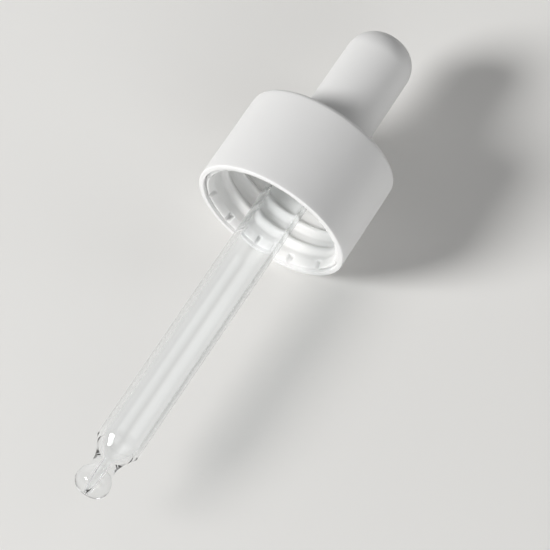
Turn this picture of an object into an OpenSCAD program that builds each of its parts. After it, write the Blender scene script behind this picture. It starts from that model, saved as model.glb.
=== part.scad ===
// Medicine dropper, lying on its side: a two-wall screw closure, a rubber bulb and a glass pipette.
// The pieces are turned about +Z with the closure's mouth at height 0, and laid down at the end.
// In the finished frame the axis runs along Y, the bulb points to +Y and the surface it lies on is z = 0.

/* [Closure] */
// Outside diameter of the outer shell at its mouth
shell_d = 26.3; // [25:0.1:32]
// Height of the outer shell
shell_h = 16.5; // [15.5:0.1:22]
// How much smaller the shell's outside radius is at its top
shell_draft = 0.24; // [0:0.01:0.35]
// Wall of the shell's skirt
shell_wall = 0.85; // [0.8:0.05:1.2]
// Thickness of the shell's top
shell_top = 1.2; // [0.8:0.1:2]
// Radius of the shell's top edge
shell_edge_r = 0.9; // [0.3:0.1:1.1]
// Radius of the shell's rim at the mouth
shell_rim_r = 0.25; // [0.1:0.05:0.35]
// Thickness of the threaded cap's top
cap_top = 1.1; // [0.8:0.1:1.6]
// How far the threaded cap's rim sits inside the shell's mouth
cap_recess = 0.3; // [0.1:0.1:0.8]
// Length of the cone that leads the bottle neck in
lead_in_h = 1.3; // [0.8:0.1:1.8]
// How much wider the lead-in's radius is than the thread's root
lead_in_w = 0.45; // [0.2:0.01:0.6]
// Number of notches round the cap's mouth
notches = 12; // [6:1:18]
// Diameter of a notch
notch_d = 1.1; // [0.6:0.1:1.4]
// How far a notch reaches outside the lead-in's edge
notch_out = 0.3; // [0.1:0.05:0.4]

/* [Bottle thread] */
// Diameter at the root of the cap's thread
thread_root_d = 22.4; // [21:0.1:23]
// Diameter inside the thread's crest
thread_crest_d = 20.5; // [20.4:0.1:20.8]
// Height that the thread gains in one turn
thread_pitch = 3.175; // [2.6:0.005:3.3]
// Turns of thread
thread_turns = 2; // [1:0.1:2.2]
// Height above the cap's rim where the thread starts
thread_start = 2.6; // [2.2:0.1:3.2]

/* [Bulb] */
// Outside diameter of the bulb where it leaves the shell
bulb_d = 11.4; // [10:0.1:13]
// How much smaller the bulb's radius is where its end starts to round
bulb_draft = 0.15; // [0:0.01:0.3]
// Length of the bulb that stands above the shell
bulb_out = 20.9; // [20:0.1:26]
// Wall of the bulb
bulb_wall = 1.4; // [1:0.1:1.6]
// Radius of the bulb's rounded end
bulb_end_r = 4.65; // [3:0.05:4.8]
// Diameter of the flange trapped under the cap's top
flange_d = 21.2; // [20.9:0.1:21.6]
// Thickness of the flange
flange_h = 1.5; // [1.2:0.1:2]
// Height of the socket that grips the glass, above the flange's underside
socket_h = 5.2; // [4:0.1:6]
// How far finger and thumb each press a pad in
pad_travel = 2.6; // [1:0.1:3.2]
// Length of the pads
pad_l = 13; // [8:0.5:14]
// Distance from the shell's top to the pads
pad_from_shell = 3.4; // [3:0.1:5]

/* [Pipette] */
// Outside diameter of the glass tube
tube_d = 7; // [5:0.1:7.4]
// Wall of the glass tube
tube_wall = 0.8; // [0.7:0.05:1.2]
// How far the bead at the upper rim stands out from the end held in the socket
bead_out = 0.4; // [0.1:0.05:0.5]
// Length of the glass from the closure's mouth to the centre of the ball tip
tip_below_mouth = 53.2; // [40:0.1:80]
// Diameter of the ball tip
ball_d = 5.8; // [5:0.1:6.6]
// Length of the ball past its centre, where it is flattened
ball_end = 2.1; // [1.6:0.05:2.4]
// Diameter of the neck above the ball
neck_d = 4.1; // [3.2:0.1:4.4]
// Length of the neck, from the shoulder's end to the ball's centre
neck_l = 3.6; // [3:0.1:6]
// Length of the shoulder between the tube and the neck
shoulder_l = 3.7; // [2.6:0.1:5]
// Bore of the neck
neck_bore = 1.1; // [0.8:0.1:1.6]
// Bore at the outlet
outlet_bore = 0.7; // [0.4:0.1:0.8]

/* [Washer] */
// Outside diameter of the sealing washer
washer_d = 20.3; // [18:0.1:20.3]
// Hole of the sealing washer
washer_bore = 12; // [9:0.1:14]
// Thickness of the sealing washer
washer_h = 0.8; // [0.5:0.1:1.2]

/* [Clearances] */
// Radial gap between the threaded cap and the shell
cap_gap = 0.05; // [0.02:0.01:0.1]
// Radial running gap of the bulb in the closure's holes
bulb_gap = 0.08; // [0.03:0.01:0.1]
// Gap between the flange and the cap's top, so that the closure turns
flange_gap = 0.05; // [0.02:0.01:0.1]
// Gap round each pad
pad_gap = 0.1; // [0.05:0.05:0.2]
// Gap between the two pads when both are pressed in
pads_apart = 0.54; // [0.2:0.02:1]
// Radial gap between the glass and the rubber socket
socket_gap = 0.02; // [0.01:0.01:0.05]
// Radial gap between the glass bead and the bulb's inside
bead_clear = 0.45; // [0.2:0.05:0.8]

/* [Hidden] */
$fn = 96;
// Overlap of a cut with the face it starts from, and how far one runs past what it cuts
little = 0.01;
past = 1;

// Closure, from the mouth up
shell_r = shell_d / 2;
shell_in_r = shell_r - shell_wall;
shell_in_h = shell_h - shell_top;
cap_r = shell_in_r - cap_gap;
root_r = thread_root_d / 2;
crest_r = thread_crest_d / 2;
cap_under_h = shell_in_h - cap_top;
snap_r = 0.3;
snap_h = 4;
snap_gap = 0.04;

// Bulb
bulb_r = bulb_d / 2;
bulb_far_r = bulb_r - bulb_draft;
bulb_in_r = bulb_far_r - bulb_wall;
hole_r = bulb_r + bulb_gap;
flange_top_h = cap_under_h - flange_gap;
flange_under_h = flange_top_h - flange_h;
socket_top_h = flange_under_h + socket_h;
bulb_top_h = shell_h + bulb_out;
end_r = min(bulb_end_r, bulb_far_r - little);
bulb_round_h = bulb_top_h - end_r;
pad_low_h = shell_h + pad_from_shell;
pad_high_h = pad_low_h + pad_l;
pad_half_w = pad_gap + sqrt(pow(bulb_in_r, 2) - pow(pad_travel + pads_apart / 2, 2));

// Pipette, from the outlet up
tube_r = tube_d / 2;
tube_in_r = tube_r - tube_wall;
bead_r = bulb_in_r - bead_clear;
socket_end_r = bead_r - bead_out;
socket_end_in_r = socket_end_r - tube_wall;
bead_h = 1;
bead_gap = 0.1;
step_h = 0.1;
ball_r = ball_d / 2;
neck_r = neck_d / 2;
ball_h = -tip_below_mouth;
outlet_h = ball_h - ball_end;
outlet_l = 0.4;
funnel_up = 0.4;
neck_top_h = ball_h + neck_l;
shoulder_top_h = neck_top_h + shoulder_l;
tube_top_h = flange_under_h - step_h;
glass_top_h = socket_top_h + bead_h + bead_gap;
ball_squareness = 2.4;
shoulder_power = 1.5;
arc_steps = 12;

// Place of the laid-down part: the origin is under the middle of its length, on the surface
part_l = bulb_top_h - outlet_h;
mouth_y = part_l / 2 - bulb_top_h;

// Lays a piece down and puts it on the surface
module laid_down() {
    translate([0, mouth_y, shell_r]) rotate([-90, 0, 0]) children();
}

// Points along an arc of radius r about a centre, in the half outline's plane
function arc(centre_r, centre_h, r, from, to) = [for (i = [0:arc_steps])
    let (a = from + (to - from) * i / arc_steps) [centre_r + r * cos(a), centre_h + r * sin(a)]];

// A ring or disc between two radii and two heights, for rotate_extrude
module band(r_in, r_out, h_low, h_high) {
    translate([r_in, h_low]) square([r_out - r_in, h_high - h_low]);
}

// Half outline of the shell's outside, with a rounded top edge and rim
module shell_outside() {
    top_r = shell_r - shell_draft;
    polygon([
        [0, 0], [shell_r - shell_rim_r, 0], [shell_r, shell_rim_r],
        [top_r, shell_h - shell_edge_r], [top_r - shell_edge_r, shell_h], [0, shell_h]
    ]);
    translate([shell_r - shell_rim_r, shell_rim_r]) circle(shell_rim_r);
    translate([top_r - shell_edge_r, shell_h - shell_edge_r]) circle(shell_edge_r);
}

module outer_shell() {
    color("white") laid_down() rotate_extrude() difference() {
        shell_outside();
        band(0, shell_in_r, -past, shell_in_h);
        band(0, hole_r, 0, shell_h + past);
        translate([cap_r, snap_h]) circle(snap_r + snap_gap);
    }
}

// Thread ridge: a tapering profile swept up a helix, with its foot sunk into the wall
module thread_ridge() {
    steps_per_turn = 30;
    steps = round(thread_turns * steps_per_turn);
    fade_steps = 6;
    foot_half = 0.95;
    crest_half = 0.35;
    foot_sunk = 0.3;
    least_ridge = 0.12;
    foot_r = root_r + foot_sunk;
    function fade(i) = min(1, i / fade_steps, (steps - i) / fade_steps);
    function ring(i) =
        let (
            turn = i / steps_per_turn * 360,
            h = cap_recess + thread_start + i / steps_per_turn * thread_pitch,
            full = max(least_ridge, fade(i)),
            tip_r = foot_r - (foot_r - crest_r) * full
        )
        [for (p = [
            [foot_r, h - foot_half], [foot_r, h + foot_half],
            [tip_r, h + crest_half], [tip_r, h - crest_half]
        ]) [p[0] * cos(turn), p[0] * sin(turn), p[1]]];
    polyhedron(
        points = [for (i = [0:steps]) each ring(i)],
        faces = concat(
            [[3, 2, 1, 0]],
            [[for (k = [0:3]) steps * 4 + k]],
            [for (i = [0:steps - 1], k = [0:3])
                each let (a = i * 4 + k, b = i * 4 + (k + 1) % 4)
                    [[a, b, b + 4], [a, b + 4, a + 4]]]
        )
    );
}

module threaded_cap() {
    color("whitesmoke") laid_down() difference() {
        union() {
            rotate_extrude() difference() {
                union() {
                    band(hole_r, cap_r, cap_recess, shell_in_h);
                    translate([cap_r, snap_h]) circle(snap_r);
                }
                band(0, root_r, 0, cap_under_h);
                polygon([
                    [root_r - past, cap_recess - little], [root_r + lead_in_w, cap_recess - little],
                    [root_r, cap_recess + lead_in_h], [root_r - past, cap_recess + lead_in_h]
                ]);
            }
            thread_ridge();
        }
        for (i = [0:notches - 1])
            rotate([0, 0, (i + 0.5) * 360 / notches])
                translate([root_r + lead_in_w + notch_out - notch_d / 2, 0, cap_recess - little])
                    cylinder(d = notch_d, h = lead_in_h + little);
    }
}

// Half outline of the bulb's outside: flange, neck, tapering side and rounded end
module bulb_outside() {
    end_c = bulb_far_r - end_r;
    polygon(concat(
        [
            [0, flange_under_h], [flange_d / 2, flange_under_h], [flange_d / 2, flange_top_h],
            [bulb_r, flange_top_h], [bulb_r, shell_h]
        ],
        arc(end_c, bulb_round_h, end_r, 0, 90),
        [[0, bulb_top_h]]
    ));
}

// Half outline of the hollow: the socket for the glass, then the air space
module bulb_hollow() {
    in_end_r = end_r - bulb_wall;
    socket_r = socket_end_r + socket_gap;
    polygon(concat(
        [
            [0, flange_under_h - past], [socket_r, flange_under_h - past],
            [socket_r, socket_top_h], [bulb_in_r, socket_top_h]
        ],
        arc(bulb_in_r - in_end_r, bulb_round_h, in_end_r, 0, 90),
        [[0, bulb_top_h - bulb_wall]]
    ));
}

module bulb_body() {
    rotate_extrude() difference() {
        bulb_outside();
        bulb_hollow();
    }
}

// Round-ended prism out along +X, less a margin all round
module pad_prism(margin) {
    half_w = pad_half_w - margin;
    rotate([0, 90, 0]) {
        for (h = [pad_low_h + pad_half_w, pad_high_h - pad_half_w])
            translate([-h, 0, 0]) cylinder(r = half_w, h = bulb_r + past);
        translate([pad_half_w - pad_high_h, -half_w, 0])
            cube([pad_l - 2 * pad_half_w, 2 * half_w, bulb_r + past]);
    }
}

module bulb() {
    color("white") laid_down() difference() {
        bulb_body();
        for (side = [0, 180]) rotate([0, 0, side]) pad_prism(0);
    }
}

// The stretch of the bulb's wall that one fingertip presses in
module bulb_pad(side) {
    color("white") laid_down() rotate([0, 0, side]) intersection() {
        bulb_body();
        pad_prism(pad_gap);
    }
}

module bulb_thumb_pad() { bulb_pad(0); }

module bulb_finger_pad() { bulb_pad(180); }

module sealing_washer() {
    color("gainsboro") laid_down() rotate_extrude()
        band(washer_bore / 2, washer_d / 2, flange_under_h - washer_h, flange_under_h);
}

// Points down the shoulder: a cone at first, easing into the neck
function shoulder() = [for (i = [0:arc_steps])
    let (down = i / arc_steps)
    [neck_r + (tube_r - neck_r) * pow(1 - down, shoulder_power), shoulder_top_h - down * shoulder_l]];

// Points down the ball's flattened lower half, from its widest ring to the outlet's centre
function ball_lower() = [for (i = [1:arc_steps])
    let (a = i / arc_steps * 90, p = 2 / ball_squareness)
    [ball_r * pow(max(0, cos(a)), p), ball_h - ball_end * pow(sin(a), p)]];

// Half outline of the glass outside: rim bead, socket end, tube, shoulder, neck and ball
module glass_outside() {
    bead_half = bead_h / 2;
    polygon(concat(
        [[0, glass_top_h]],
        arc(bead_r - bead_half, glass_top_h - bead_half, bead_half, 90, -acos(1 - bead_out / bead_half)),
        [[socket_end_r, tube_top_h + step_h], [tube_r, tube_top_h]],
        shoulder(),
        arc(0, ball_h, ball_r, acos(neck_r / ball_r), 0),
        ball_lower()
    ));
}

// Half outline of the bore: wide in the tube, a funnel at the shoulder, then the fine bore to the outlet
module glass_bore() {
    outlet_r = outlet_bore / 2;
    bore_r = neck_bore / 2;
    polygon([
        [0, outlet_h - past], [outlet_r, outlet_h - past], [outlet_r, outlet_h + outlet_l], [bore_r, ball_h],
        [bore_r, neck_top_h + funnel_up], [tube_in_r, shoulder_top_h + funnel_up],
        [tube_in_r, tube_top_h - 2 * tube_wall], [socket_end_in_r, tube_top_h - tube_wall],
        [socket_end_in_r, glass_top_h + past], [0, glass_top_h + past]
    ]);
}

module glass_pipette() {
    color("lightcyan", 0.4) laid_down() rotate_extrude() difference() {
        glass_outside();
        glass_bore();
    }
}

outer_shell();
threaded_cap();
bulb();
bulb_thumb_pad();
bulb_finger_pad();
sealing_washer();
glass_pipette();
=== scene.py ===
"""Looks of the medicine dropper: moulded closure, rubber bulb and glass pipette, on a pale floor."""

import math

import bpy
from mathutils import Matrix, Vector


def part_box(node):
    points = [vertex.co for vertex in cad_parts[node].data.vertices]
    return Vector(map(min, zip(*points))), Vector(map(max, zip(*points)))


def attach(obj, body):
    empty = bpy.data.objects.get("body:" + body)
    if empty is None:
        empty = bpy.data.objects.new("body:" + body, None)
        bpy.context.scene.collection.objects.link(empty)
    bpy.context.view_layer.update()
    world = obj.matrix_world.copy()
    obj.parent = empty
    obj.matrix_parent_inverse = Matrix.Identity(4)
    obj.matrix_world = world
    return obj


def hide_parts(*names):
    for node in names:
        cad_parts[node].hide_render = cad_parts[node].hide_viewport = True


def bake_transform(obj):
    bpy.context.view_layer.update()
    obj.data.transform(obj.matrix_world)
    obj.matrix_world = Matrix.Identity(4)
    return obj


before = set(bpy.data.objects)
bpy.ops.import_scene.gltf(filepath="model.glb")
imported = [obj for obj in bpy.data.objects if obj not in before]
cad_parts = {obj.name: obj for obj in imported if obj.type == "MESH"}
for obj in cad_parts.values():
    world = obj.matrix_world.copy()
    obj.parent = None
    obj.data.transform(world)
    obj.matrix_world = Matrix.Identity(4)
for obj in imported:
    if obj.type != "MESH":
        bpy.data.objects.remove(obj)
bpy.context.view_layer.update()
MM = 0.001

# ---- where the CAD pieces are ------------------------------------------------

SHELL_LOW, SHELL_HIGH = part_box("outer_shell")
CAP_LOW, CAP_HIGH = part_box("threaded_cap")
BULB_LOW, BULB_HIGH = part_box("bulb")
WASHER_LOW, WASHER_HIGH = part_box("sealing_washer")
GLASS_LOW, GLASS_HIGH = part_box("glass_pipette")

MOUTH_Y = SHELL_LOW.y
AXIS_Z = (SHELL_LOW.z + SHELL_HIGH.z) / 2
MOUTH = Vector((0, MOUTH_Y, AXIS_Z))


def height(y):
    """Height above the closure's mouth, in millimetres, of a place along the axis."""
    return (y - MOUTH_Y) / MM


# ---- sizes of the pieces, in millimetres -------------------------------------

# outer shell
SHELL_R = (SHELL_HIGH.x - SHELL_LOW.x) / 2 / MM
SHELL_H = height(SHELL_HIGH.y)
SHELL_DRAFT = 0.24
SHELL_WALL = 0.85
SHELL_TOP = 1.2
SHELL_EDGE_R = 0.9
SHELL_RIM_R = 0.25

# threaded cap, with the thread of a 22 mm bottle
CAP_R = (CAP_HIGH.x - CAP_LOW.x) / 2 / MM
CAP_RIM_H = height(CAP_LOW.y)
CAP_TOP_H = height(CAP_HIGH.y)
CAP_TOP = 1.1
LEAD_IN_H = 1.3
LEAD_IN_W = 0.45
ROOT_R = 11.2
CREST_R = 10.25
PITCH = 3.175
TURNS = 2
THREAD_START = 2.6
NOTCHES = 12
NOTCH_R = 0.55
NOTCH_OUT = 0.3

# rubber bulb: the closure's holes clear it by HOLE_GAP
BULB_R = 5.7
BULB_DRAFT = 0.15
BULB_WALL = 1.4
BULB_END_R = 4.65
BULB_TOP_H = height(BULB_HIGH.y)
BULB_IN_R = BULB_R - BULB_DRAFT - BULB_WALL
FLANGE_LOW_H = height(BULB_LOW.y)
FLANGE_R = 10.6
FLANGE_H = 1.5
SOCKET_H = 5.2
HOLE_GAP = 0.08
HOLE_R = BULB_R + HOLE_GAP
HOLE_EDGE_R = 0.08
PARTING_H = SHELL_H - 0.5  # where the bulb's base ends and its quarters start, inside the shell's top

# glass pipette
TUBE_R = (GLASS_HIGH.x - GLASS_LOW.x) / 2 / MM
TUBE_WALL = 0.8
TUBE_TOP_H = FLANGE_LOW_H - 0.1
GLASS_TOP_H = height(GLASS_HIGH.y)
BEAD_R = 3.7
BEAD_ROUND = 0.45
SOCKET_END_R = 3.3
SOCKET_GAP = 0.02
SHOULDER_L = 3.7
NECK_L = 3.6
NECK_R = 2.05
NECK_BORE_R = 0.55
BALL_R = 2.9
BALL_END = 2.1
OUTLET_H = height(GLASS_LOW.y)
OUTLET_R = 0.35

# washer
WASHER_HOLE_R = 6

# how many steps each piece has round the axis
SHELL_STEPS = 288
CAP_STEPS = 480
BULB_STEPS = 192
HALF_BULB_STEPS = 128
WASHER_STEPS = 160
GLASS_STEPS = 384


# ---- outlines and turned pieces ----------------------------------------------


def rounded(corners, steps=7, support=0.05):
    """Closed outline (r, h) with each corner (r, h, fillet) rounded.

    A support point stands by each end of a fillet, where there is room, so the flat beside it shades flat.
    """
    n = len(corners)
    points = [Vector(c[:2]) for c in corners]
    fillets = [c[2] if len(c) > 2 else 0 for c in corners]
    turns = []
    for i, p in enumerate(points):
        to_last = (points[i - 1] - p).normalized()
        to_next = (points[(i + 1) % n] - p).normalized()
        half = math.acos(max(-1, min(1, to_last.dot(to_next)))) / 2
        turns.append((to_last, to_next, half, fillets[i] / math.tan(half) if fillets[i] else 0))
    outline = []
    for i, p in enumerate(points):
        to_last, to_next, half, reach = turns[i]
        if not reach:
            outline.append(p)
            continue
        room_last = (points[i - 1] - p).length - reach - turns[i - 1][3]
        room_next = (points[(i + 1) % n] - p).length - reach - turns[(i + 1) % n][3]
        centre = p + (to_last + to_next).normalized() * fillets[i] / math.sin(half)
        start = p + to_last * reach - centre
        end = p + to_next * reach - centre
        if room_last > 3 * support:
            outline.append(p + to_last * (reach + support))
        sweep = start.angle_signed(end)
        for k in range(steps + 1):
            turned = start.copy()
            turned.rotate(Matrix.Rotation(-sweep * k / steps, 2))
            outline.append(centre + turned)
        if room_next > 3 * support:
            outline.append(p + to_next * (reach + support))
    return [(p.x, p.y) for p in outline]


def on_axis(r, h, angle):
    """A place at radius r and height h, in metres."""
    return (r * MM * math.cos(angle), MOUTH_Y + h * MM, AXIS_Z - r * MM * math.sin(angle))


def turned_piece(name, outline, segments, start=0.0, sweep=360.0):
    """A closed outline swept round the axis.

    A part turn gets flat ends, and its sides are shaded as a full turn's.
    """
    whole = sweep >= 360
    area = sum(a[0] * b[1] - b[0] * a[1] for a, b in zip(outline, outline[1:] + outline[:1]))
    if area > 0:
        outline = outline[::-1]
    columns = segments if whole else segments + 1
    angles = [math.radians(start + sweep * j / segments) for j in range(columns)]
    vertices = []
    index = []
    for r, h in outline:
        if r < 1e-6:
            vertices.append(on_axis(0, h, 0))
            index.append([len(vertices) - 1] * columns)
        else:
            index.append(list(range(len(vertices), len(vertices) + columns)))
            vertices.extend(on_axis(r, h, a) for a in angles)
    faces = []
    flat = []
    for i, low in enumerate(index):
        high = index[(i + 1) % len(index)]
        for j in range(segments):
            k = (j + 1) % columns
            corners = [low[j], high[j], high[k], low[k]]
            corners = [c for n, c in enumerate(corners) if c != corners[n - 1]]
            if len(set(corners)) > 2:
                faces.append(corners)
                flat.append(False)
    if not whole:
        faces += [[row[0] for row in index][::-1], [row[-1] for row in index]]
        flat += [True, True]
    mesh = bpy.data.meshes.new(name)
    mesh.from_pydata(vertices, [], faces)
    mesh.update()
    mesh.polygons.foreach_set("use_smooth", [not f for f in flat])
    if not whole:
        mesh.normals_split_custom_set(side_normals(mesh, outline, index, angles, flat))
    piece = bpy.data.objects.new(name, mesh)
    bpy.context.scene.collection.objects.link(piece)
    return piece


def side_normals(mesh, outline, index, angles, flat):
    """One normal for each face corner of a part turn.

    It is the full turn's normal on the sides, and the face's own on the ends.
    """
    slopes = []
    for i, (r, h) in enumerate(outline):
        before = Vector(outline[i - 1])
        here = Vector((r, h))
        after = Vector(outline[(i + 1) % len(outline)])
        if r > 1e-6:
            along = ((here - before).normalized() + (after - here).normalized()).normalized()
        else:
            along = Vector((1 if r < after.x else -1, 0))
        slopes.append((-along.y, along.x))
    at = {}
    for (out, up), row in zip(slopes, index):
        for vertex, angle in zip(row, angles):
            at[vertex] = Vector((out * math.cos(angle), up, -out * math.sin(angle))).normalized()
        if len(set(row)) == 1:
            at[row[0]] = Vector((0, 1 if up > 0 else -1, 0))
    normals = []
    for polygon, is_flat in zip(mesh.polygons, flat):
        for vertex in polygon.vertices:
            normal = polygon.normal if is_flat else at[vertex]
            normals.append(normal if is_flat or normal.dot(polygon.normal) > 0 else -normal)
    return normals


# ---- node graphs ---------------------------------------------------------------


class Wire:
    """A socket that Python's operators work on, through Math nodes."""

    def __init__(self, graph, socket):
        self.graph = graph
        self.socket = socket

    def math(self, operation, *values):
        return self.graph.node("ShaderNodeMath", {"operation": operation}, dict(enumerate(values)))

    def __add__(self, other):
        return self.math("ADD", self, other)

    def __radd__(self, other):
        return self.math("ADD", other, self)

    def __sub__(self, other):
        return self.math("SUBTRACT", self, other)

    def __rsub__(self, other):
        return self.math("SUBTRACT", other, self)

    def __mul__(self, other):
        return self.math("MULTIPLY", self, other)

    def __rmul__(self, other):
        return self.math("MULTIPLY", other, self)

    def __truediv__(self, other):
        return self.math("DIVIDE", self, other)

    def __rtruediv__(self, other):
        return self.math("DIVIDE", other, self)

    def __pow__(self, other):
        return self.math("POWER", self, other)


class Graph:
    """A node tree that is filled by one method."""

    def __init__(self, tree):
        self.tree = tree

    def node(self, kind, settings=None, values=None, output=0):
        made = self.tree.nodes.new(kind)
        for name, value in (settings or {}).items():
            setattr(made, name, value)
        for key, value in (values or {}).items():
            if isinstance(value, Wire):
                self.tree.links.new(value.socket, made.inputs[key])
            else:
                made.inputs[key].default_value = value
        return Wire(self, made.outputs[output]) if made.outputs else None


def material(name):
    """A new material and its empty graph."""
    made = bpy.data.materials.new(name)
    made.use_nodes = True
    made.node_tree.nodes.clear()
    return made, Graph(made.node_tree)


def moulded(name, colour, roughness, grain, grain_size, subsurface, depth, specular):
    """A moulded white finish: faint mottling, a fine grain, and gloss that varies with it.

    grain_size is the grain's width and depth how far light sinks in, both in millimetres.
    """
    made, g = material(name)
    place = g.node("ShaderNodeTexCoord", output="Object")
    cloud = g.node(
        "ShaderNodeTexNoise",
        {},
        {"Vector": place, "Scale": 140.0, "Detail": 3.0, "Roughness": 0.5},
    )
    fine = g.node("ShaderNodeTexNoise", {}, {"Vector": place, "Scale": 1 / (grain_size * MM), "Detail": 2.0})
    darker = tuple(c * 0.975 for c in colour[:3]) + (1,)
    tint = g.node(
        "ShaderNodeMix", {"data_type": "RGBA"}, {"Factor": cloud, 6: darker, 7: colour}, output=2
    )
    bump = g.node(
        "ShaderNodeBump",
        {},
        {"Height": fine, "Strength": grain, "Distance": grain_size * MM / 4},
    )
    shader = g.node(
        "ShaderNodeBsdfPrincipled",
        {},
        {
            "Base Color": tint,
            "Roughness": roughness + 0.08 * (fine - 0.5) + 0.05 * (cloud - 0.5),
            "Normal": bump,
            "Subsurface Weight": subsurface,
            "Subsurface Radius": (1.0, 1.0, 1.0),
            "Subsurface Scale": depth * MM,
            "Specular IOR Level": specular,
        },
    )
    g.node("ShaderNodeOutputMaterial", {}, {"Surface": shader})
    return made


def shell_plastic():
    """Matte moulded plastic."""
    return moulded(
        "shell_plastic",
        colour=(0.75, 0.75, 0.748, 1),
        roughness=0.52,
        grain=0.12,
        grain_size=0.22,
        subsurface=0.6,
        depth=0.8,
        specular=0.4,
    )


def cap_plastic():
    """Milky satin plastic that light sinks into, which softens the thread."""
    return moulded(
        "cap_plastic",
        colour=(0.82, 0.82, 0.812, 1),
        roughness=0.38,
        grain=0.05,
        grain_size=0.5,
        subsurface=1.0,
        depth=1.4,
        specular=0.3,
    )


def bulb_rubber():
    """Matte rubber. Light doesn't sink into it, because that would draw a line where the bulb's quarters meet."""
    return moulded(
        "bulb_rubber",
        colour=(0.745, 0.745, 0.742, 1),
        roughness=0.6,
        grain=0.1,
        grain_size=0.3,
        subsurface=0.0,
        depth=1.5,
        specular=0.35,
    )


def washer_foam():
    """Soft foamed plastic with a coarse grain."""
    return moulded(
        "washer_foam",
        colour=(0.80, 0.80, 0.78, 1),
        roughness=0.65,
        grain=0.3,
        grain_size=0.35,
        subsurface=0.2,
        depth=0.8,
        specular=0.3,
    )


def pipette_glass():
    """Clear drawn glass, faintly cool.

    Lamp light and light from matte surfaces pass it as they pass a thin tinted pane, so its shadow is faint.
    """
    made, g = material("pipette_glass")
    place = g.node("ShaderNodeTexCoord", output="Object")
    stretched = g.node("ShaderNodeMapping", {}, {"Vector": place, "Scale": (1.0, 0.03, 1.0)})
    drawn = g.node("ShaderNodeTexNoise", {}, {"Vector": stretched, "Scale": 300.0, "Detail": 1.0})
    tint = g.node(
        "ShaderNodeMix",
        {"data_type": "RGBA"},
        {"Factor": drawn, 6: (0.975, 0.988, 0.993, 1), 7: (0.99, 0.995, 0.998, 1)},
        output=2,
    )
    glass = g.node(
        "ShaderNodeBsdfPrincipled",
        {},
        {"Base Color": tint, "Roughness": 0.0, "IOR": 1.49, "Transmission Weight": 1.0},
    )
    clear = g.node("ShaderNodeBsdfTransparent", {}, {"Color": (0.87, 0.876, 0.878, 1)})
    lamp = g.node("ShaderNodeLightPath", output="Is Shadow Ray")
    bounced = g.node("ShaderNodeLightPath", output="Is Diffuse Ray")
    passing = lamp.math("MAXIMUM", lamp, bounced)
    either = g.node("ShaderNodeMixShader", {}, {"Fac": passing, 1: glass, 2: clear})
    g.node("ShaderNodeOutputMaterial", {}, {"Surface": either})
    return made


def floor_board():
    """Pale matte board with faint clouding."""
    made, g = material("floor_board")
    place = g.node("ShaderNodeTexCoord", output="Object")
    cloud = g.node("ShaderNodeTexNoise", {}, {"Vector": place, "Scale": 6.0, "Detail": 4.0})
    tint = g.node(
        "ShaderNodeMix",
        {"data_type": "RGBA"},
        {"Factor": cloud, 6: (0.785, 0.778, 0.76, 1), 7: (0.80, 0.795, 0.78, 1)},
        output=2,
    )
    board = g.node("ShaderNodeBsdfPrincipled", {}, {"Base Color": tint, "Roughness": 0.9})
    g.node("ShaderNodeOutputMaterial", {}, {"Surface": board})
    return made


# ---- the closure -----------------------------------------------------------------


def outer_shell():
    """The smooth outer shell, open at the mouth and holed at the top."""
    top_r = SHELL_R - SHELL_DRAFT
    in_r = SHELL_R - SHELL_WALL
    under_h = SHELL_H - SHELL_TOP
    outline = rounded(
        [
            (SHELL_R, 0, SHELL_RIM_R),
            (top_r, SHELL_H, SHELL_EDGE_R),
            (HOLE_R, SHELL_H, HOLE_EDGE_R),
            (HOLE_R, under_h, HOLE_EDGE_R),
            (in_r, under_h, 0.2),
            (in_r, 0, 0.04),
        ],
        steps=9,
    )
    piece = turned_piece("shell_skin", outline, SHELL_STEPS)
    piece.data.materials.append(shell_plastic())
    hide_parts("outer_shell")
    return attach(piece, "closure")


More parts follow.
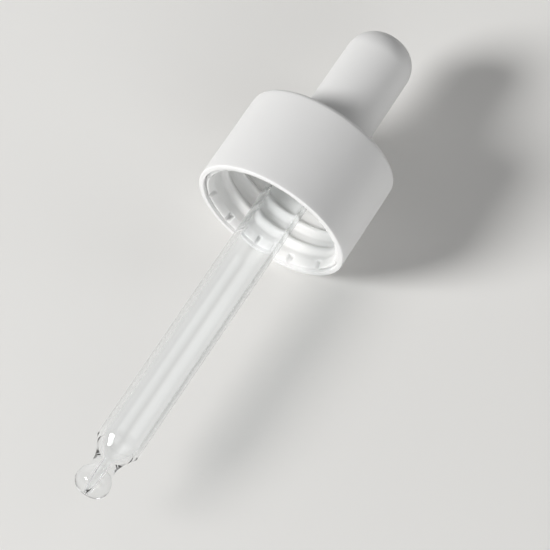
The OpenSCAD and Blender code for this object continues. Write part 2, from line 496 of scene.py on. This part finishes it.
def thread_rule(finish):
    """Node tree that raises the thread on the cap's inner wall and cuts the notches round its mouth."""
    tree = bpy.data.node_groups.new("thread_and_notches", "GeometryNodeTree")
    face = tree.interface
    face.new_socket("Geometry", in_out="INPUT", socket_type="NodeSocketGeometry")
    face.new_socket("Geometry", in_out="OUTPUT", socket_type="NodeSocketGeometry")
    sizes = {
        "Mouth": MOUTH_Y,
        "Axis height": AXIS_Z,
        "Ridge height": (ROOT_R - CREST_R) * MM,
        "Ridge foot": 1.15 * MM,
        "Ridge crest": 0.1 * MM,
        "Pitch": PITCH * MM,
        "Turns": float(TURNS),
        "Start": (CAP_RIM_H + THREAD_START) * MM,
        "Fade": 0.2,
        "Notches": float(NOTCHES),
        "Notch radius": NOTCH_R * MM,
        "Notch centre": (ROOT_R + LEAD_IN_W + NOTCH_OUT - NOTCH_R) * MM,
    }
    for name, value in sizes.items():
        face.new_socket(name, in_out="INPUT", socket_type="NodeSocketFloat").default_value = value
    g = Graph(tree)
    given = tree.nodes.new("NodeGroupInput")
    size = {name: Wire(g, given.outputs[name]) for name in sizes}
    whole = 2 * math.pi

    where = g.node("GeometryNodeInputPosition")
    split = tree.nodes.new("ShaderNodeSeparateXYZ")
    tree.links.new(where.socket, split.inputs[0])
    x, y, z = (Wire(g, out) for out in split.outputs)
    down = size["Axis height"] - z
    radius = (x * x + down * down) ** 0.5
    angle = x.math("ARCTAN2", down, x)
    up = y - size["Mouth"]

    # thread: how far the nearest turn of the helix is along the axis, and how many turns up it is
    turned = angle / whole
    round_share = turned.math("WRAP", turned, 1.0, 0.0)
    passed = (up - size["Start"]) / size["Pitch"] - round_share
    turn = passed.math("ROUND", passed)
    off = passed.math("ABSOLUTE", passed - turn) * size["Pitch"]
    along = turn + round_share
    to_end = along.math("MINIMUM", along, size["Turns"] - along)
    fade = g.node(
        "ShaderNodeMapRange",
        {"interpolation_type": "SMOOTHSTEP"},
        {"Value": to_end, "From Max": size["Fade"]},
    )
    ridge = g.node(
        "ShaderNodeMapRange",
        {"interpolation_type": "SMOOTHSTEP"},
        {"Value": off, "From Min": size["Ridge foot"], "From Max": size["Ridge crest"]},
    )
    thread_r = radius - size["Ridge height"] * ridge * fade

    # notches: the far side of the nearest round cutter, where it reaches past the lead-in
    notch = angle / whole * size["Notches"]
    share = notch.math("WRAP", notch, 1.0, 0.0)
    aside = (share - 0.5) * whole / size["Notches"]
    across = aside.math("SINE", aside) * size["Notch centre"]
    cutter = size["Notch radius"]
    inside = across.math("MAXIMUM", cutter * cutter - across * across, 0.0)
    in_notch = inside.math("GREATER_THAN", inside, 0.0)
    far = aside.math("COSINE", aside) * size["Notch centre"] + inside**0.5
    notch_r = far.math("MAXIMUM", radius, far * in_notch)

    on_wall = g.node("GeometryNodeInputNamedAttribute", {"data_type": "FLOAT"}, {"Name": "wall"})
    on_lead = g.node("GeometryNodeInputNamedAttribute", {"data_type": "FLOAT"}, {"Name": "lead_in"})
    new_r = radius + (thread_r - radius) * on_wall + (notch_r - radius) * on_lead
    scale = new_r / radius
    new_z = size["Axis height"] - down * scale
    moved = g.node("ShaderNodeCombineXYZ", {}, {"X": x * scale, "Y": y, "Z": new_z})
    plain = Wire(g, given.outputs["Geometry"])
    skin = g.node("GeometryNodeSetPosition", {}, {"Geometry": plain, "Position": moved})
    real = g.node("GeometryNodeRealizeInstances", {}, {"Geometry": skin})
    done = g.node("GeometryNodeSetMaterial", {}, {"Geometry": real, "Material": finish})
    out = tree.nodes.new("NodeGroupOutput")
    tree.links.new(done.socket, out.inputs["Geometry"])
    return tree


def made_plain(piece, tree):
    """The piece as its node tree makes it, as a plain mesh with no modifier."""
    modifier = piece.modifiers.new("rule", "NODES")
    modifier.node_group = tree
    for item in tree.interface.items_tree:
        if item.in_out == "INPUT" and item.socket_type != "NodeSocketGeometry":
            modifier[item.identifier] = item.default_value
    bpy.context.view_layer.update()
    evaluated = piece.evaluated_get(bpy.context.evaluated_depsgraph_get())
    mesh = bpy.data.meshes.new_from_object(evaluated)
    piece.modifiers.remove(modifier)
    piece.data = mesh
    return piece


def threaded_cap():
    """The inner cap: a plain outside, a lead-in with notches at its mouth, and a threaded inner wall."""
    under_h = CAP_TOP_H - CAP_TOP
    lead_h = CAP_RIM_H + LEAD_IN_H
    rows = 104
    wall_low = lead_h + 0.05
    wall_high = under_h - 0.5
    wall = [(ROOT_R, wall_high + (wall_low - wall_high) * i / rows) for i in range(rows + 1)]
    # the lead-in's rows stand closer by its two edges
    lead_edge_r = ROOT_R + LEAD_IN_W
    lead_rows = [lead_h - drop for drop in (0.02, 0.1, 0.4, 0.7)]
    lead_rows += [CAP_RIM_H + rise for rise in (0.3, 0.1, 0.03)]
    lead = [(lead_edge_r - LEAD_IN_W * (h - CAP_RIM_H) / LEAD_IN_H, h) for h in lead_rows]
    lead.append((lead_edge_r + 0.03, CAP_RIM_H))
    back = rounded(
        [
            (CAP_R, CAP_RIM_H, 0.03),
            (CAP_R, CAP_TOP_H, 0.1),
            (HOLE_R, CAP_TOP_H, HOLE_EDGE_R),
            (HOLE_R, under_h, HOLE_EDGE_R),
            (ROOT_R, under_h, 0.4),
            (ROOT_R, wall_high - 1),
        ]
    )[:-1]
    outline = back + wall + lead
    piece = turned_piece("cap_skin", outline, CAP_STEPS)
    # the node tree moves only the points of the inner wall and of the lead-in, which two attributes mark
    places = [
        (round(math.hypot(v.co.x, v.co.z - AXIS_Z) / MM, 5), round(height(v.co.y), 5))
        for v in piece.data.vertices
    ]
    for name, members in (("wall", wall), ("lead_in", lead)):
        chosen = {(round(r, 5), round(h, 5)) for r, h in members}
        weights = [float(place in chosen) for place in places]
        piece.data.attributes.new(name, "FLOAT", "POINT").data.foreach_set("value", weights)
    made_plain(piece, thread_rule(cap_plastic()))
    piece.data.polygons.foreach_set("use_smooth", [True] * len(piece.data.polygons))
    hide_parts("threaded_cap")
    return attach(piece, "closure")


# ---- the bulb ----------------------------------------------------------------------


def arc(centre_r, centre_h, r, start, end, steps):
    """Points (r, h) of an arc from one angle to another, in degrees."""
    angles = [math.radians(start + (end - start) * i / steps) for i in range(steps + 1)]
    return [(max(0.0, centre_r + r * math.cos(a)), centre_h + r * math.sin(a)) for a in angles]


def bulb_base(rubber):
    """The flange under the cap's top and the neck in the closure's holes."""
    top_h = FLANGE_LOW_H + FLANGE_H
    socket_r = SOCKET_END_R + SOCKET_GAP
    outline = rounded(
        [
            (FLANGE_R, FLANGE_LOW_H, 0.15),
            (FLANGE_R, top_h, 0.15),
            (BULB_R, top_h, 0.05),
            (BULB_R, PARTING_H),
            (socket_r, PARTING_H),
            (socket_r, FLANGE_LOW_H, 0.15),
        ]
    )
    piece = turned_piece("bulb_base", outline, BULB_STEPS)
    piece.data.materials.append(rubber)
    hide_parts("bulb")
    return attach(piece, "dropper")


def bulb_quarter(name, pad, start, low, rubber):
    """The lower or upper half of one side of the bulb above the closure, hollow."""
    far_r = BULB_R - BULB_DRAFT
    round_h = BULB_TOP_H - BULB_END_R
    in_end_r = BULB_END_R - BULB_WALL
    socket_r = SOCKET_END_R + SOCKET_GAP
    socket_h = FLANGE_LOW_H + SOCKET_H
    long = BULB_TOP_H - SHELL_H
    middle_h = SHELL_H + long / 2
    slope = BULB_DRAFT / (round_h - SHELL_H)

    def wall(low_h, high_h, steps=12, support=0.01):
        """The outside wall's points, with a support point by each end so that its shading runs straight on."""
        between = [low_h + (high_h - low_h) * i / steps for i in range(1, steps)]
        levels = [low_h, low_h + support] + between + [high_h - support, high_h]
        return [(BULB_R - max(0, h - SHELL_H) * slope, h) for h in levels]

    if low:
        outside = wall(PARTING_H, middle_h)
        inside = [(BULB_IN_R, h) for r, h in wall(socket_h, middle_h)[::-1]]
        inside += [(socket_r, socket_h), (socket_r, PARTING_H)]
    else:
        outside = wall(middle_h, round_h)
        outside += arc(far_r - BULB_END_R, round_h, BULB_END_R, 0, 90, 32)[1:] + [(0, BULB_TOP_H)]
        inside = [(0, BULB_TOP_H - BULB_WALL)]
        inside += arc(BULB_IN_R - in_end_r, round_h, in_end_r, 90, 0, 16)
        inside += [(BULB_IN_R, h) for r, h in wall(middle_h, round_h)[-2::-1]]
    piece = turned_piece(name, outside + inside, HALF_BULB_STEPS, start, 180)
    piece.data.materials.append(rubber)
    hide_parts("bulb", pad)
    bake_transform(piece)
    return piece


# ---- the washer and the glass -------------------------------------------------------


def sealing_washer():
    """The soft ring that the bottle's lip seals against."""
    out_r = (WASHER_HIGH.x - WASHER_LOW.x) / 2 / MM
    low_h = height(WASHER_LOW.y)
    high_h = height(WASHER_HIGH.y)
    outline = rounded(
        [
            (out_r, low_h, 0.15),
            (out_r, high_h, 0.1),
            (WASHER_HOLE_R, high_h, 0.1),
            (WASHER_HOLE_R, low_h, 0.2),
        ]
    )
    piece = turned_piece("washer_skin", outline, WASHER_STEPS)
    piece.data.materials.append(washer_foam())
    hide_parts("sealing_washer")
    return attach(piece, "dropper")


def glass_pipette():
    """Drawn tube with a rim bead, a shoulder, a neck and a flattened ball, and a bore right through."""
    ball_h = OUTLET_H + BALL_END
    neck_top_h = ball_h + NECK_L
    shoulder_top_h = neck_top_h + SHOULDER_L
    tube_in_r = TUBE_R - TUBE_WALL
    steps = 20
    shoulder = [
        (NECK_R + (TUBE_R - NECK_R) * (1 - i / steps) ** 1.5, shoulder_top_h - SHOULDER_L * i / steps)
        for i in range(1, steps + 1)
    ]
    tilt = math.degrees(math.acos(NECK_R / BALL_R))
    ball = arc(0, ball_h, BALL_R, tilt, 0, 20)
    # the ball's underside is a little squarer than an ellipse, which the power gives
    power = 2 / 2.4
    quarter = [math.radians(90 * i / 24) for i in range(1, 24)]
    under = [(BALL_R * math.cos(a) ** power, ball_h - BALL_END * math.sin(a) ** power) for a in quarter]
    under = [p for p in under if p[0] > OUTLET_R + 0.15]
    under += [(OUTLET_R + 0.12, OUTLET_H + 0.01), (OUTLET_R + 0.02, OUTLET_H + 0.06)]
    bore = [(OUTLET_R, OUTLET_H + 0.4), (NECK_BORE_R, ball_h), (NECK_BORE_R, neck_top_h + 0.4)]
    tube_h = [TUBE_TOP_H + (shoulder_top_h - TUBE_TOP_H) * i / 12 for i in range(1, 12)]
    corners = (
        [(SOCKET_END_R, TUBE_TOP_H + 0.1), (TUBE_R, TUBE_TOP_H)]
        + [(TUBE_R, h) for h in tube_h]
        + [(TUBE_R, shoulder_top_h, 0.6)]
        + shoulder
        + ball
        + under
        + [bore[0], (*bore[1], 1.0), (*bore[2], 1.2)]
        + [(tube_in_r, shoulder_top_h + 0.4, 4.0)]
        + [(tube_in_r, h) for h in tube_h[::-1] if h > shoulder_top_h + 3]
        + [
            (tube_in_r, TUBE_TOP_H - 2 * TUBE_WALL, 0.5),
            (SOCKET_END_R - TUBE_WALL, TUBE_TOP_H - TUBE_WALL, 0.5),
            (SOCKET_END_R - TUBE_WALL, GLASS_TOP_H, 0.3),
            (BEAD_R, GLASS_TOP_H, BEAD_ROUND),
            (BEAD_R, GLASS_TOP_H - 1, BEAD_ROUND),
            (SOCKET_END_R, GLASS_TOP_H - 1.1, 0.1),
        ]
    )
    piece = turned_piece("glass_skin", rounded(corners, steps=10), GLASS_STEPS)
    piece.data.materials.append(pipette_glass())
    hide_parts("glass_pipette")
    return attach(piece, "dropper")


# ---- floor, light and camera ---------------------------------------------------------

CAMERA_AZIMUTH = 30.97
CAMERA_ELEVATION = 62.21
CAMERA_FAR = 1.5
LAMP_FAR = 1.5


def direction(azimuth, elevation):
    """The way from the part to a place seen at this azimuth, from -Y round by +X, and elevation."""
    turn, lift = math.radians(azimuth), math.radians(elevation)
    return Vector((math.sin(turn) * math.cos(lift), -math.cos(turn) * math.cos(lift), math.sin(lift)))


def overhead(lean):
    """The way to a place above the part and a little towards the bulb, leaning over to the +X side."""
    turn, back = math.radians(lean), math.radians(24)
    return Vector((math.sin(turn) * math.cos(back), math.sin(back), math.cos(turn) * math.cos(back)))


# soft panels of the room: where each is, how sharp its edge is, and how bright it is
SOFT_PANELS = [
    (direction(0, 20), 30, 0.5),
    (direction(330, 20), 30, 0.5),
    (direction(45, 15), 8, 2.5),
    (direction(225, 15), 8, 0.8),
    (direction(270, 15), 8, 0.4),
]
# a tall bright window on the +X side, and a dimmer one opposite, which draw the streaks along the glass
SOFT_PANELS += [(overhead(lean), 60, 1.2) for lean in (30, 45, 60, 75)]
SOFT_PANELS += [(overhead(lean), 60, 0.5) for lean in (-30, -15)]


def pale_floor():
    """The floor that the dropper lies on."""
    mesh = bpy.data.meshes.new("floor")
    half = 4.0
    corners = [(-half, -half, 0), (half, -half, 0), (half, half, 0), (-half, half, 0)]
    mesh.from_pydata(corners, [], [(0, 1, 2, 3)])
    floor = bpy.data.objects.new("floor", mesh)
    bpy.context.scene.collection.objects.link(floor)
    mesh.materials.append(floor_board())


def window_lamp():
    """The round lamp on the -X side, in front of the mouth, which casts the soft shadow."""
    lamp = bpy.data.lights.new("window", "AREA")
    lamp.shape = "DISK"
    lamp.size = 0.54
    lamp.energy = 21.6
    lamp.color = (1.0, 0.995, 0.985)
    key = bpy.data.objects.new("window", lamp)
    towards = direction(315, 36)
    key.location = MOUTH + towards * LAMP_FAR
    key.rotation_euler = towards.to_track_quat("Z", "Y").to_euler()
    bpy.context.scene.collection.objects.link(key)


def room_light():
    """The soft panels, as one background that is the sum of their glows."""
    world = bpy.data.worlds.new("room")
    world.use_nodes = True
    world.node_tree.nodes.clear()
    g = Graph(world.node_tree)
    looked = g.node("ShaderNodeTexCoord", output="Generated")
    glow = 0.0
    for way, sharpness, strength in SOFT_PANELS:
        facing = g.node(
            "ShaderNodeVectorMath",
            {"operation": "DOT_PRODUCT"},
            {0: looked, 1: way},
            output=1,
        )
        glow = glow + facing.math("MAXIMUM", facing, 0.0) ** sharpness * strength
    room = g.node("ShaderNodeBackground", {}, {"Color": glow, "Strength": 1.0})
    g.node("ShaderNodeOutputWorld", {}, {"Surface": room})
    bpy.context.scene.world = world
    bpy.context.scene.view_settings.view_transform = "Standard"


def camera():
    """A long lens that looks down into the mouth, with the glass towards the lower left."""
    turn = math.radians(CAMERA_AZIMUTH)
    back = direction(CAMERA_AZIMUTH, CAMERA_ELEVATION)
    right = Vector((math.cos(turn), math.sin(turn), 0))
    up = back.cross(right)
    lens = bpy.data.cameras.new("camera")
    lens.lens = 628
    lens.sensor_width = 36
    lens.clip_start = 0.05
    lens.clip_end = 50
    eye = bpy.data.objects.new("camera", lens)
    place = MOUTH + right * 0.0007 - up * 0.0084 + back * CAMERA_FAR
    eye.matrix_world = Matrix.Translation(place) @ Matrix((right, up, back)).transposed().to_4x4()
    bpy.context.scene.collection.objects.link(eye)
    bpy.context.scene.camera = eye


camera()
pale_floor()
window_lamp()
room_light()
outer_shell()
threaded_cap()
RUBBER = bulb_rubber()
bulb_base(RUBBER)
bulb_quarter("bulb_thumb_lower", "bulb_thumb_pad", -90, True, RUBBER)
bulb_quarter("bulb_thumb_upper", "bulb_thumb_pad", -90, False, RUBBER)
bulb_quarter("bulb_finger_lower", "bulb_finger_pad", 90, True, RUBBER)
bulb_quarter("bulb_finger_upper", "bulb_finger_pad", 90, False, RUBBER)
sealing_washer()
glass_pipette()
